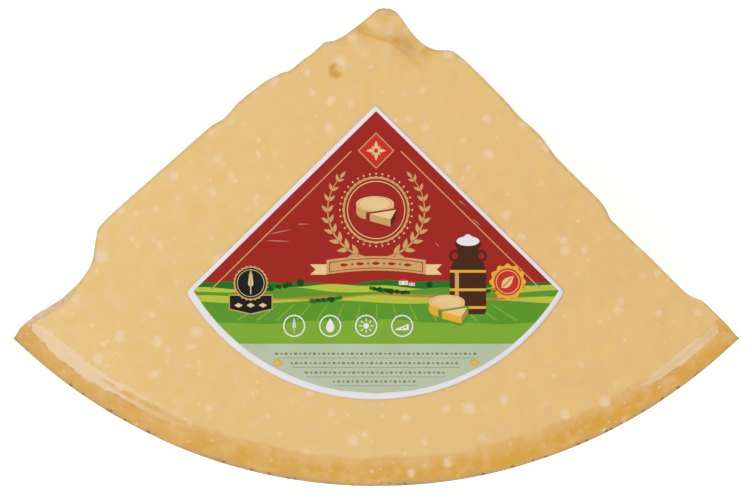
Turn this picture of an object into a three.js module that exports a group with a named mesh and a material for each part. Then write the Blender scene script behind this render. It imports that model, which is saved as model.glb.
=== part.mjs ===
// A chunk of hard cheese, one eighth of a wheel: half of the wheel's height and a quarter of its circle.
// It lies on the wheel's flat rind, with the sawn face up and a paper label on that face.
// Millimetres, +Z up. Until the last lines x and y are measured from the wheel's axis, the rind towards -Y.
import * as THREE from "three";

// The wheel that the chunk was taken from
const wheelRadius = 210; // at the middle of the wheel's height, where the sawn face is
const chunkHeight = 118; // half of the wheel's height
const halfAngle = THREE.MathUtils.degToRad(44.3);
const barrelInset = 8; // the side of the wheel narrows by this towards its flat face
const heelRadius = 12; // where the side turns into the flat face

// The two sides were split with a short knife, and the point of the chunk broke off the wheel's axis.
const tipAtFace = new THREE.Vector2(3.2, -16.5);
const tipAtBase = new THREE.Vector2(3, -10);
const tipWander = 2;
const incisionWidth = 18; // the knife went in this far along the rind, so that the split is flat there
const outlineKept = 0.45; // how much of the split's outline at the face is left at the base
const outlineWander = { size: 31, reach: 11 }; // and how it strays along the side on the way down
const overhang = 0.06; // crags stand out past the face's edge by no more than this for each mm of depth

// A split's outline at the face: distance from the tip along the straight line to the rind's corner, and how
// far the edge stands outside that line. slant moves the outline along the side by that much for each mm down.
const leftSplit = {
  side: -1,
  slant: 0.3,
  outline: [
    [0, 0], [2.2, 1.3], [12, 1.6], [20, 2.2], [24, 3.4], [28, 5.6], [33, 5.5], [38, 6.1], [45, 6.4],
    [49, 8.1], [58, 10.1], [69, 10.7], [78, 9.8], [85, 11], [138, 11.2], [145, 10.6], [149, 8], [156, 2.3],
    [161, 0.2], [167, -0.8], [174, -0.8], [183, 0.7], [190, 1.4], [200.9, 0],
  ],
};
const rightSplit = {
  side: 1,
  slant: -0.25,
  outline: [
    [0, 0], [2.2, 1.6], [5, 2.3], [14, 0.9], [22, 0.3], [26, 1.1], [33, 6.2], [40, 6.8], [60, 6.1],
    [71, 5.2], [80, 5.4], [93, 3.3], [117, 2.4], [121, 1.6], [126, -0.1], [147, -0.5], [167, -1.1],
    [171, -0.4], [175.5, 1.2], [187, 0.9], [196.2, 0],
  ],
};

// Crags of the split sides: [size of a bump, height of a bump], and the folded ones that leave sharp valleys
const crags = [[46, 5.2], [17, 2.8]];
const foldedCrag = { size: 26, height: 5.4 };
const cragRamp = { in: 18, out: 55 }; // the depth at which crags below and above the split are at full height

// The face's edge is worn, and broken away at the left corner
const wornEdge = 1.2;
const cornerBreak = { from: 160, to: 197, inset: 3.4, depth: 7 };

// The tip's broken top: it starts at this line across the face, [x, y], and steps down towards the tip
const breakLine = [
  [-16, -28], [-9, -26.8], [-1, -28.7], [6.4, -30.8], [8.8, -32.4], [15.7, -38.5], [19, -37.6], [27, -32],
];
const breakStep = 2.2;
const breakSlope = 0.16; // further drop for each mm beyond the line
const breakHollow = { x: 15, y: -30, size: 7.5, depth: 4.2 };
const tipKnob = { x: 0.5, y: -22, size: 5, height: 1.5 };

// A small round eye in the face, and the slightly sunken band beside the rind at both ends
const eye = { x: -16.2, y: -41.7, radius: 2.6, depth: 1.6 };
const rindStep = { width: 8, ramp: 3.5, drop: 1.1 };
const rindStepEnds = [[-43.6, -24], [33, 43.6]]; // degrees round the wheel
const faceWave = { x: -19, y: -43, size: 13, height: 0.7 };

// The label: a sector with its apex towards the tip
const labelApex = new THREE.Vector2(-0.2, -56.2);
const labelHalfAngle = THREE.MathUtils.degToRad(45.4);
const labelArcCentre = new THREE.Vector2(-0.4, -86.2);
const labelArcRadius = 88.7;
const labelCornerCut = 2; // how far the rounding of a corner reaches along its sides
const labelApexCut = 1;
const labelThickness = 0.3;
const labelGap = 0.1; // the adhesive

// How finely the solid is cut up
const splitColumns = 46;
const rindColumns = 48;
const wallHeights = [1.6, 6, 12]; // rows round the heel, above which the rows are even
const wallRows = 13;
const edgeAngles = [0, 45, 90]; // degrees round the worn edge
const faceInsets = [4.5, 8, 11.5, 16]; // rings beside the face's edge
const faceRings = [0.8, 0.6, 0.4, 0.2];
const baseRings = [0.3, 0.62, 0.9];
const centre = new THREE.Vector2(0, -125); // the rings close on this point

// ---- small helpers ----

const smoothstep = THREE.MathUtils.smoothstep;

function interpolate(stations, at) {
  let k = 1;
  while (k < stations.length - 1 && stations[k][0] < at) k += 1;
  const [x0, y0] = stations[k - 1];
  const [x1, y1] = stations[k];
  return y0 + (y1 - y0) * THREE.MathUtils.clamp((at - x0) / (x1 - x0), 0, 1);
}

// The same as a smooth curve: a cubic between stations, level at each station where the curve turns back
function interpolateSmoothly(stations, at) {
  let k = 1;
  while (k < stations.length - 1 && stations[k][0] < at) k += 1;
  const rise = (n) => {
    if (n < 1 || n >= stations.length) return 0;
    return (stations[n][1] - stations[n - 1][1]) / (stations[n][0] - stations[n - 1][0]);
  };
  const slope = (before, after) => (before * after > 0 ? (2 * before * after) / (before + after) : 0);
  const [x0, y0] = stations[k - 1];
  const [x1, y1] = stations[k];
  const width = x1 - x0;
  const t = THREE.MathUtils.clamp((at - x0) / width, 0, 1);
  const blend = t * t * (3 - 2 * t);
  const starting = width * slope(rise(k - 1), rise(k)) * t * (1 - t) ** 2;
  const ending = width * slope(rise(k), rise(k + 1)) * t * t * (1 - t);
  return y0 + (y1 - y0) * blend + starting - ending;
}

function bump(x, y, { x: x0, y: y0, size }) {
  return Math.exp(-((x - x0) ** 2 + (y - y0) ** 2) / (size * size));
}

// A number from -1 to 1 for each point of a whole-number grid, always the same for the same point
function gridValue(i, j, k) {
  let h = Math.imul(i, 0x27d4eb2d) ^ Math.imul(j, 0x165667b1) ^ Math.imul(k, 0x9e3779b1);
  h = Math.imul(h ^ (h >>> 15), 0x85ebca6b);
  h = Math.imul(h ^ (h >>> 13), 0xc2b2ae35);
  h ^= h >>> 16;
  return (h >>> 0) / 2147483648 - 1;
}

// Smooth noise from -1 to 1, with one bump to each unit of length
function noise(x, y, z) {
  const [i, j, k] = [Math.floor(x), Math.floor(y), Math.floor(z)];
  const [u, v, w] = [smoothstep(x - i, 0, 1), smoothstep(y - j, 0, 1), smoothstep(z - k, 0, 1)];
  let sum = 0;
  for (let corner = 0; corner < 8; corner += 1) {
    const [a, b, c] = [corner & 1, (corner >> 1) & 1, corner >> 2];
    const weight = (a ? u : 1 - u) * (b ? v : 1 - v) * (c ? w : 1 - w);
    sum += weight * gridValue(i + a, j + b, k + c);
  }
  return sum;
}

// ---- the walls ----

// The barrel's radius at a height, with the heel's quarter round at the bottom
function rindRadius(z) {
  const barrel = wheelRadius - barrelInset * (1 - z / chunkHeight) ** 2;
  const below = Math.max(0, heelRadius - z);
  return barrel - heelRadius + Math.sqrt(heelRadius ** 2 - below ** 2);
}

function rindPoint(angle, z) {
  const radius = rindRadius(z);
  return new THREE.Vector2(radius * Math.sin(angle), -radius * Math.cos(angle));
}

function tipPoint(z) {
  const tip = tipAtBase.clone().lerp(tipAtFace, smoothstep(z, 0, chunkHeight));
  const wander = tipWander * (1 - smoothstep(z, chunkHeight - 60, chunkHeight));
  tip.x += wander * noise(z / 17, 0.5, 3.5);
  tip.y += wander * noise(z / 13, 7.5, 0.5);
  return tip;
}

// How far the crags stand out of the flat split at a point
function cragHeight(x, y, z) {
  let height = 0;
  for (const [size, rise] of crags) height += rise * noise(x / size, y / size, z / size);
  const { size, height: rise } = foldedCrag;
  return height + rise * (Math.abs(noise(x / size, y / size, z / size + 9)) - 0.35);
}

// A point of a split side: along is 0 at the tip and 1 at the rind
function splitPoint({ side, slant, outline }, along, z) {
  const tip = tipPoint(z);
  const chord = rindPoint(side * halfAngle, z).sub(tip);
  const point = tip.addScaledVector(chord, along);
  const depth = chunkHeight - z;
  const faceLength = outline[outline.length - 1][0];
  const ends = smoothstep(along, 0, 0.05) * smoothstep(1 - along, 0, 0.05);
  const { size, reach } = outlineWander;
  const stray = reach * noise(point.x / size, point.y / size, z / size + 5) * smoothstep(depth, 0, 40);
  const slid = interpolateSmoothly(outline, along * faceLength + (slant * depth + stray) * ends);
  const kept = slid * (1 - (1 - outlineKept) * smoothstep(depth, 0, 100));
  const fromRind = rindRadius(z) - point.length();
  const incised = smoothstep(fromRind, 3, incisionWidth) * (0.25 + 0.75 * smoothstep(z, 4, incisionWidth));
  const fullCrag = cragHeight(point.x, point.y, z);
  const crag = fullCrag * incised * ends * smoothstep(depth, 1, fullCrag > 0 ? cragRamp.out : cragRamp.in);
  const furthest = interpolateSmoothly(outline, along * faceLength) + overhang * depth;
  const outward = new THREE.Vector2(-side * chord.y, side * chord.x).normalize();
  return point.addScaledVector(outward, furthest - Math.abs(furthest - kept - crag)); // folded back there
}

// ---- the face ----

function faceHeight(x, y) {
  const beyond = 0.85 * (y - interpolate(breakLine, x));
  const broken = smoothstep(beyond, 0, 1.6);
  let drop = broken * (breakStep + breakSlope * Math.max(0, beyond));
  drop += broken * breakHollow.depth * bump(x, y, breakHollow);
  drop -= broken * tipKnob.height * bump(x, y, tipKnob);
  const fromEye = Math.hypot(x - eye.x, y - eye.y);
  drop += eye.depth * (1 - smoothstep(fromEye, 0.2 * eye.radius, eye.radius));
  const degrees = THREE.MathUtils.radToDeg(Math.atan2(x, -y));
  const fromRind = wheelRadius - Math.hypot(x, y);
  for (const [start, end] of rindStepEnds) {
    const inside = smoothstep(degrees, start - 1.5, start + 1.5);
    const ends = inside * (1 - smoothstep(degrees, end - 1.5, end + 1.5));
    drop += rindStep.drop * ends * (1 - smoothstep(fromRind, rindStep.width, rindStep.width + rindStep.ramp));
  }
  return chunkHeight - drop + faceWave.height * bump(x, y, faceWave) * noise(x / 13, y / 13, 0);
}

// ---- the cheese, as closed loops of points from the base to the face ----

// The columns run from the tip down the left split, round the rind and up the right split.
function makeColumns() {
  const columns = [];
  const spacing = (k) => (k / splitColumns) ** 1.2; // closer together at the tip
  for (let k = 0; k < splitColumns; k += 1) columns.push({ split: leftSplit, along: spacing(k) });
  for (let k = 0; k < rindColumns; k += 1) columns.push({ angle: halfAngle * ((2 * k) / rindColumns - 1) });
  for (let k = splitColumns; k > 0; k -= 1) columns.push({ split: rightSplit, along: spacing(k) });
  return columns;
}

function wallPoint(column, z) {
  return column.split ? splitPoint(column.split, column.along, z) : rindPoint(column.angle, z);
}

// A point moved towards the centre by an inset
function towardsCentre(point, inset) {
  const ray = point.clone().sub(centre);
  return ray.setLength(ray.length() - inset).add(centre);
}

// How far the face's edge is worn back at a column, and how deep
function edgeWear({ split, along }) {
  if (split !== leftSplit) return { inset: wornEdge, depth: wornEdge };
  const { from, to, inset, depth } = cornerBreak;
  const at = along * leftSplit.outline[leftSplit.outline.length - 1][0];
  const broken = smoothstep(at, from, from + 14) * (1 - smoothstep(at, to - 8, to));
  return { inset: wornEdge + (inset - wornEdge) * broken, depth: wornEdge + (depth - wornEdge) * broken };
}

// One column from the base's first ring to the face's last
function columnPoints(column) {
  const points = [];
  const put = (p, z) => points.push(new THREE.Vector3(p.x, p.y, z));
  const foot = wallPoint(column, 0);
  for (const share of baseRings) put(centre.clone().lerp(foot, share), 0);
  put(foot, 0);
  for (const z of wallHeights) put(wallPoint(column, z), z);

  const outer = wallPoint(column, chunkHeight);
  const wear = edgeWear(column);
  const rim = towardsCentre(outer, wear.inset);
  const rimHeight = faceHeight(rim.x, rim.y);
  const lowest = wallHeights[wallHeights.length - 1];
  const highest = rimHeight - wear.depth;
  for (let row = 1; row < wallRows; row += 1) {
    const z = lowest + ((highest - lowest) * row) / wallRows;
    put(wallPoint(column, z), z);
  }
  for (const degrees of edgeAngles) {
    const angle = THREE.MathUtils.degToRad(degrees);
    const edge = towardsCentre(outer, wear.inset * (1 - Math.cos(angle)));
    put(edge, rimHeight - wear.depth * (1 - Math.sin(angle)));
  }
  const onFace = (p) => put(p, faceHeight(p.x, p.y));
  for (const inset of faceInsets) onFace(towardsCentre(rim, inset));
  const lastRing = towardsCentre(rim, faceInsets[faceInsets.length - 1]);
  for (const share of faceRings) onFace(centre.clone().lerp(lastRing, share));
  return points;
}

function makeCheese() {
  const columns = makeColumns().map(columnPoints);
  const rows = columns[0].length;
  const positions = [centre.x, centre.y, 0];
  for (const points of columns) for (const p of points) positions.push(p.x, p.y, p.z);
  positions.push(centre.x, centre.y, chunkHeight);
  const basePole = 0;
  const facePole = positions.length / 3 - 1;
  const vertex = (column, row) => 1 + (column % columns.length) * rows + row;
  const index = [];
  for (let c = 0; c < columns.length; c += 1) {
    index.push(basePole, vertex(c + 1, 0), vertex(c, 0));
    for (let r = 0; r < rows - 1; r += 1) {
      index.push(vertex(c, r), vertex(c + 1, r), vertex(c + 1, r + 1));
      index.push(vertex(c, r), vertex(c + 1, r + 1), vertex(c, r + 1));
    }
    index.push(facePole, vertex(c, rows - 1), vertex(c + 1, rows - 1));
  }
  const geometry = new THREE.BufferGeometry();
  geometry.setAttribute("position", new THREE.Float32BufferAttribute(positions, 3));
  geometry.setIndex(index);
  geometry.computeVertexNormals();
  const mesh = new THREE.Mesh(
    geometry,
    new THREE.MeshStandardMaterial({ color: 0xe5c184, roughness: 0.5, metalness: 0 }),
  );
  mesh.name = "cheese";
  return mesh;
}

// ---- the label ----

// The point where a side of the label meets its arc
function labelCorner(side) {
  const direction = new THREE.Vector2(side * Math.sin(labelHalfAngle), -Math.cos(labelHalfAngle));
  const fromCentre = labelApex.clone().sub(labelArcCentre);
  const b = fromCentre.dot(direction);
  const reach = -b + Math.sqrt(b * b + labelArcRadius ** 2 - fromCentre.lengthSq());
  return labelApex.clone().addScaledVector(direction, reach);
}

function makeLabel() {
  const left = labelCorner(-1);
  const right = labelCorner(1);
  const towards = (from, to, distance) => from.clone().lerp(to, distance / from.distanceTo(to));
  const arcAngle = (corner) => Math.atan2(corner.y - labelArcCentre.y, corner.x - labelArcCentre.x);
  const cutAngle = labelCornerCut / labelArcRadius;
  const arcStart = arcAngle(left) + cutAngle;
  const arcEnd = arcAngle(right) - cutAngle;

  const shape = new THREE.Shape();
  const apexLeft = towards(labelApex, left, labelApexCut);
  const apexRight = towards(labelApex, right, labelApexCut);
  const sideLeft = towards(left, labelApex, labelCornerCut);
  const sideRight = towards(right, labelApex, labelCornerCut);
  const arcFirst = new THREE.Vector2(Math.cos(arcStart), Math.sin(arcStart)).multiplyScalar(labelArcRadius);
  arcFirst.add(labelArcCentre);
  shape.moveTo(apexLeft.x, apexLeft.y);
  shape.lineTo(sideLeft.x, sideLeft.y);
  shape.quadraticCurveTo(left.x, left.y, arcFirst.x, arcFirst.y);
  shape.absarc(labelArcCentre.x, labelArcCentre.y, labelArcRadius, arcStart, arcEnd, false);
  shape.quadraticCurveTo(right.x, right.y, sideRight.x, sideRight.y);
  shape.lineTo(apexRight.x, apexRight.y);
  shape.quadraticCurveTo(labelApex.x, labelApex.y, apexLeft.x, apexLeft.y);

  const geometry = new THREE.ExtrudeGeometry(shape, {
    depth: labelThickness,
    bevelEnabled: false,
    curveSegments: 40,
  });
  const mesh = new THREE.Mesh(
    geometry,
    new THREE.MeshStandardMaterial({ color: 0x9e2a2b, roughness: 0.35, metalness: 0 }),
  );
  mesh.name = "label";
  mesh.position.z = chunkHeight + labelGap;
  return mesh;
}

// ---- assembly: the origin goes to the middle of the base ----

const chunk = new THREE.Group();
chunk.add(makeCheese(), makeLabel());
const box = new THREE.Box3().setFromObject(chunk);
chunk.position.set(-(box.min.x + box.max.x) / 2, -(box.min.y + box.max.y) / 2, 0);

export default chunk;
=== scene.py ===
# A chunk of aged hard cheese under its printed label, as fine surfaces round the solids of the frame.
# Shapes are worked out in millimetres from the wheel's axis, with the rind towards -Y, and placed in metres.
import math
from functools import partial

import bmesh
import bpy
import numpy as np
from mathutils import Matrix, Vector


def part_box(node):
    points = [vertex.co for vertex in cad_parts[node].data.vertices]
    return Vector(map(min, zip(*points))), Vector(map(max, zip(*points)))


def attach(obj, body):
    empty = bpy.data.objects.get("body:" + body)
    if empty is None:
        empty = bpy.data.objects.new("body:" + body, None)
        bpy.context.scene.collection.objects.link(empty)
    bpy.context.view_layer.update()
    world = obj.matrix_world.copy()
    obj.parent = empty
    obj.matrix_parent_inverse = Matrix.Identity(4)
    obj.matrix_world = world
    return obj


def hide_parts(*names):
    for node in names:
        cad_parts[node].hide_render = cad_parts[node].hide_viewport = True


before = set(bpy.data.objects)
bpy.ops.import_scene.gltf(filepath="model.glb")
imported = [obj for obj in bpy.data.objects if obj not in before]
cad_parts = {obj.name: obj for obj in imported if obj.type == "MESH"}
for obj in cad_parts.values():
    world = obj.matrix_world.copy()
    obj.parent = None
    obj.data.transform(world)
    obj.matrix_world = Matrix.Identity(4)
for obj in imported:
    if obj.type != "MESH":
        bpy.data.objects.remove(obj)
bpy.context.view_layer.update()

mm = 0.001
wheel = {
    "radius": 210.0,  # mm, half way up the wheel, where the face was sawn
    "halfAngle": math.radians(44.3),
    "barrelInset": 8.0,  # the side narrows by this towards the flat rind
    "heelRadius": 12.0,  # round edge between side and flat rind
}
labelGap = 0.1  # mm of adhesive under the label
cheeseLow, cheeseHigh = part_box("cheese")
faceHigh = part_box("label")[0].z / mm - labelGap  # height of the sawn face
axisX = (cheeseLow.x + cheeseHigh.x) / 2 / mm
axisY = cheeseLow.y / mm + wheel["radius"]


def smoothstep(x, low, high):
    # 0 below the first height and 1 above the second, with a level start and end between them
    t = np.clip((x - low) / (high - low), 0, 1)
    return t * t * (3 - 2 * t)


def plateau(x, riseFrom, riseTo, fallFrom, fallTo):
    # 0, up to 1 over the first ramp, and back to 0 over the second
    return smoothstep(x, riseFrom, riseTo) * (1 - smoothstep(x, fallFrom, fallTo))


def interpolate(stations, at):
    # straight lines between stations, which are pairs of place and value
    places, values = zip(*stations)
    return np.interp(at, places, values)


def interpolateSmoothly(stations, at):
    # a cubic between stations whose slope at each one is the harmonic mean of the rises before and after it,
    # and level where the curve turns back, so that it never swings past a station
    places, values = (np.array(column, float) for column in zip(*stations))
    rise = np.diff(values) / np.diff(places)
    before, after = np.append(0, rise), np.append(rise, 0)
    alike = before * after > 0
    slope = np.where(alike, 2 * before * after / np.where(alike, before + after, 1), 0)
    k = np.clip(np.searchsorted(places, at), 1, len(places) - 1)
    width = places[k] - places[k - 1]
    t = np.clip((at - places[k - 1]) / width, 0, 1)
    blend = values[k - 1] + (values[k] - values[k - 1]) * t * t * (3 - 2 * t)
    return blend + width * t * (1 - t) * (slope[k - 1] * (1 - t) - slope[k] * t)


def gridValue(i, j, k):
    # a fixed number from -1 to 1 for each point of a whole-number grid, from mixed bits
    def bits(n, factor):
        return (n & 0xFFFFFFFF).astype(np.uint32) * np.uint32(factor)

    h = bits(i, 0x27D4EB2D) ^ bits(j, 0x165667B1) ^ bits(k, 0x9E3779B1)
    h = (h ^ (h >> np.uint32(15))) * np.uint32(0x85EBCA6B)
    h = (h ^ (h >> np.uint32(13))) * np.uint32(0xC2B2AE35)
    h = h ^ (h >> np.uint32(16))
    return h.astype(float) / 2147483648.0 - 1


def noise(x, y, z):
    # smooth noise from -1 to 1, one bump to each unit: the eight grid values round a point, blended
    x, y, z = np.broadcast_arrays(x, y, z)
    i, j, k = (np.floor(a).astype(np.int64) for a in (x, y, z))
    u, v, w = (smoothstep(a - b, 0, 1) for a, b in ((x, i), (y, j), (z, k)))
    total = np.zeros(x.shape)
    for corner in range(8):
        a, b, c = corner & 1, (corner >> 1) & 1, corner >> 2
        weight = (u if a else 1 - u) * (v if b else 1 - v) * (w if c else 1 - w)
        total += weight * gridValue(i + a, j + b, k + c)
    return total


def brokenFacets(x, y, z, size):
    # flat facets: space is split up round points scattered one to each cell of a grid, and every place takes
    # the level and tilt of the point nearest to it; from about -1.2 to 1.2
    x, y, z = np.broadcast_arrays(x / size, y / size, z / size)
    cell = [np.floor(a).astype(np.int64) for a in (x, y, z)]
    nearest, height = np.full(x.shape, 9.0), np.zeros(x.shape)
    for step in range(27):
        i, j, k = (c + s for c, s in zip(cell, (step // 9 - 1, step // 3 % 3 - 1, step % 3 - 1)))
        tilt = distance = 0.0
        for axis, (place, corner) in enumerate(((x, i), (y, j), (z, k))):
            away = place - corner - 0.5 - 0.45 * gridValue(i + 31 * axis, j, k)
            tilt = tilt + away * gridValue(i, j + 53 + 19 * axis, k)
            distance = distance + away * away
        height = np.where(distance < nearest, 0.5 * gridValue(i, j, k + 77) + tilt, height)
        nearest = np.minimum(distance, nearest)
    return height


def bump(x, y, x0, y0, size):
    # a round soft hill, 1 at its middle: a bell curve of the distance
    return np.exp(-((x - x0) ** 2 + (y - y0) ** 2) / size ** 2)


cheese = {
    "tipAtFace": (3.2, -16.5),
    "tipAtBase": (3.0, -10.0),
    "tipWander": 2.0,
    "incisionWidth": 18.0,  # the knife's flat cut along the rind
    "outlineKept": 0.45,  # share of the face's outline that is left far below it
    "outlineWander": (31.0, 11.0),  # size of a stray, and how far it goes
    "overhang": 0.06,  # crags stand out past the face's edge by no more than this for each mm of depth
    "crags": ((46.0, 5.2), (17.0, 2.8)),  # size and height
    "foldedCrag": (26.0, 5.4),
    "cragRamp": (18.0, 55.0),  # mm below the face at which hollows and crags have their full height
    "softLimit": 1.3,
    "wornEdge": 0.7,
    "cornerBreak": {"from": 163.0, "to": 198.0, "inset": 7.6, "depth": 4.5},  # along the left split's outline
}
# a split's outline at the face: distance from the tip along the line to the rind's corner, and the offset
# outwards; with the depth the outline slides along that line by "slant" for each mm
leftSplit = {
    "side": -1,
    "slant": 0.3,
    "outline": (
        (0, 0), (2.2, 1.3), (12, 1.6), (20, 2.2), (24, 3.4), (28, 5.6), (33, 5.5), (38, 6.1), (45, 6.4),
        (49, 8.1), (58, 10.1), (69, 10.7), (78, 9.8), (85, 11), (138, 11.2), (145, 10.6), (149, 8),
        (156, 2.3), (161, 0.2), (167, -0.7), (174, -0.7), (183, 0.9), (190, 2.1), (195, 1.6), (200.9, 0),
    ),
}
rightSplit = {
    "side": 1,
    "slant": -0.25,
    "outline": (
        (0, 0), (2.2, 1.6), (5, 2.3), (14, 0.9), (22, 0.3), (26, 1.1), (33, 6.2), (40, 6.8), (60, 6.1),
        (71, 5.2), (80, 5.4), (93, 3.3), (117, 2.4), (121, 1.6), (126, -0.1), (147, -0.5), (167, -1.1),
        (171, -0.4), (175.5, 1.2), (187, 0.9), (196.2, 0),
    ),
}
face = {
    "breakLine": (
        (-16, -28.2), (-11.5, -27.3), (-5.8, -27.2), (-0.6, -29.3), (4.6, -30.5), (7.7, -32.8), (11.8, -36.1),
        (14.5, -38.4), (19, -37.6), (27, -32),
    ),
    "breakStep": (3.2, 0.9),  # ramp and drop
    "breakSlope": 0.2,
    "breakHollow": (15.0, -29.5, 8.0, 2.8),  # x, y, size, depth
    "tipKnob": (0.5, -22.0, 5.0, 1.5),
    "eye": (-15.9, -42.0, 3.4, 1.2),  # x, y, radius, depth
    "rindStep": (8.0, 3.5, 1.1),  # width, ramp, drop
    "rindStepEnds": ((-43.6, -24.0), (33.0, 43.6)),  # degrees round the wheel
    "wave": (-19.0, -43.0, 13.0, 0.7),
    "centre": (0.0, -125.0),
}
fineness = {
    "splitColumns": 212,
    "rindColumns": 150,
    "wallRows": 96,
    "edgeAngles": (0, 18, 36, 54, 72, 90),
    "nearRings": 26,  # rings beside the face's edge
    "nearSpacing": 0.65,
    "farRings": 8,
    "baseRings": 5,
    "heelHeights": (0.25, 1.0, 2.2, 3.8, 5.8, 8.0, 10.0, 12.0),
}
# what the saw, the knife and the break leave between the frame's own facets: size and height in mm
grain = {
    "facets": ((19.0, 4.8), (8.5, 2.5), (3.7, 0.8)),
    "swell": (30.0, 2.0),
    "warp": (11.0, 3.5),  # bends the facets: size and shift
    "raggedTop": (23.0, 7.0),  # how unevenly the relief starts below the face
    "faceDip": (16.0, 0.10),
    "edgeChip": (5.0, 0.35),
    "rindDip": (22.0, 15.0, 0.35),  # size round the wheel, size up its side, and depth
}


def rindRadius(z):
    # a parabola for the barrel, and a quarter round below the heel's height
    barrel = wheel["radius"] - wheel["barrelInset"] * (1 - z / faceHigh) ** 2
    below = np.maximum(0, wheel["heelRadius"] - z)
    return barrel - wheel["heelRadius"] + np.sqrt(wheel["heelRadius"] ** 2 - below ** 2)


def tipPoint(z):
    # a straight run from the base's tip to the face's, straying on the way
    share = smoothstep(z, 0, faceHigh)
    wander = cheese["tipWander"] * (1 - smoothstep(z, faceHigh - 60, faceHigh))
    (x0, y0), (x1, y1) = cheese["tipAtBase"], cheese["tipAtFace"]
    x = x0 + (x1 - x0) * share + wander * noise(z / 17, 0.5, 3.5)
    y = y0 + (y1 - y0) * share + wander * noise(z / 13, 7.5, 0.5)
    return x, y


def cragHeight(x, y, z):
    # two sizes of smooth noise, and one folded at zero so that it leaves sharp valleys
    height = sum(rise * noise(x / size, y / size, z / size) for size, rise in cheese["crags"])
    size, rise = cheese["foldedCrag"]
    return height + rise * (np.abs(noise(x / size, y / size, z / size + 9)) - 0.35)


def splitWall(split, along, z):
    # straight lines from tip to rind at each height, moved outwards by the outline and the crags, and
    # levelled off softly where they would stand out too far past the face's edge
    tipX, tipY = tipPoint(z)
    reach = rindRadius(z)
    chordX = split["side"] * reach * math.sin(wheel["halfAngle"]) - tipX
    chordY = -reach * math.cos(wheel["halfAngle"]) - tipY
    x, y = tipX + chordX * along, tipY + chordY * along
    depth = faceHigh - z
    outline = split["outline"]
    run = along * outline[-1][0]
    ends = smoothstep(along, 0, 0.05) * smoothstep(1 - along, 0, 0.05)
    size, stray = cheese["outlineWander"]
    stray = stray * noise(x / size, y / size, z / size + 5) * smoothstep(depth, 0, 40)
    slid = interpolateSmoothly(outline, run + (split["slant"] * depth + stray) * ends)
    kept = slid * (1 - (1 - cheese["outlineKept"]) * smoothstep(depth, 0, 100))
    width = cheese["incisionWidth"]
    incised = smoothstep(reach - np.hypot(x, y), 3, width) * (0.25 + 0.75 * smoothstep(z, 4, width))
    crag = cragHeight(x, y, z)
    rampIn, rampOut = cheese["cragRamp"]
    ramp = np.where(crag > 0, smoothstep(depth, 1, rampOut), smoothstep(depth, 1, rampIn))
    furthest = interpolateSmoothly(outline, run) + cheese["overhang"] * depth
    over = kept + crag * incised * ends * ramp - furthest
    soft = 0.05 + cheese["softLimit"] * smoothstep(depth, 2, 25)
    outwards = furthest - soft * np.logaddexp(0, -over / soft)
    length = np.hypot(chordX, chordY)
    return x - split["side"] * chordY / length * outwards, y + split["side"] * chordX / length * outwards


def wallSurface(columns, z):
    # left split, rind arc and right split side by side; z is an array of columns by rows
    left, rind, right = columns["left"], columns["rind"], columns["right"]
    k, n = len(left), len(left) + len(rind)
    leftX, leftY = splitWall(leftSplit, left[:, None], z[:k])
    angle, reach = rind[:, None], rindRadius(z[k:n])
    rightX, rightY = splitWall(rightSplit, right[:, None], z[n:])
    x = np.concatenate([leftX, reach * np.sin(angle), rightX])
    y = np.concatenate([leftY, -reach * np.cos(angle), rightY])
    return x, y


def rindStepShare(x, y):
    # 1 in the sunken band beside the rind, at the two ends of the arc
    degrees = np.degrees(np.arctan2(x, -y))
    width, ramp, _ = face["rindStep"]
    beside = 1 - smoothstep(wheel["radius"] - np.hypot(x, y), width, width + ramp)
    ends = sum(plateau(degrees, a - 1.5, a + 1.5, b - 1.5, b + 1.5) for a, b in face["rindStepEnds"])
    return beside * ends


def beyondBreak(x, y):
    # mm past the line where the tip's top broke off
    return 0.85 * (y - interpolate(face["breakLine"], x))


def faceDrop(x, y):
    # how far the face lies under its plane: the broken tip, the eye and the rind's sunken ends
    beyond = beyondBreak(x, y)
    ramp, step = face["breakStep"]
    broken = smoothstep(beyond, 0, ramp)
    *hollow, hollowDepth = face["breakHollow"]
    *knob, knobHeight = face["tipKnob"]
    drop = broken * (step + face["breakSlope"] * np.maximum(0, beyond))
    uneven = hollowDepth * bump(x, y, *hollow) - knobHeight * bump(x, y, *knob)
    drop = drop + smoothstep(beyond, 0, 7) * uneven
    eyeX, eyeY, eyeRadius, eyeDepth = face["eye"]
    drop = drop + eyeDepth * (1 - smoothstep(np.hypot(x - eyeX, y - eyeY), 0.2 * eyeRadius, eyeRadius))
    drop = drop + face["rindStep"][2] * rindStepShare(x, y)
    *wave, waveHeight = face["wave"]
    return drop - waveHeight * bump(x, y, *wave) * noise(x / 13, y / 13, 0)


def towardsCentre(x, y, inset):
    # a point moved straight towards the middle of the face
    centreX, centreY = face["centre"]
    share = 1 - inset / np.hypot(x - centreX, y - centreY)
    return centreX + (x - centreX) * share, centreY + (y - centreY) * share


def cornerShare(columns):
    # 1 where the face's edge is broken away, near the left corner
    count = sum(len(part) for part in columns.values())
    at = np.full(count, -1.0)
    at[: len(columns["left"])] = columns["left"] * leftSplit["outline"][-1][0]
    start, end = cheese["cornerBreak"]["from"], cheese["cornerBreak"]["to"]
    return plateau(at, start, start + 25, end - 8, end)[:, None]


def surfaceNormals(x, y, z):
    # the cross product of the steps round the chunk and up it
    points = np.stack([x, y, z], axis=-1)
    around = np.roll(points, -1, axis=0) - np.roll(points, 1, axis=0)
    up = np.gradient(points, axis=1)
    normal = np.cross(around, up)
    return normal / np.maximum(np.linalg.norm(normal, axis=-1, keepdims=True), 1e-9)


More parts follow.
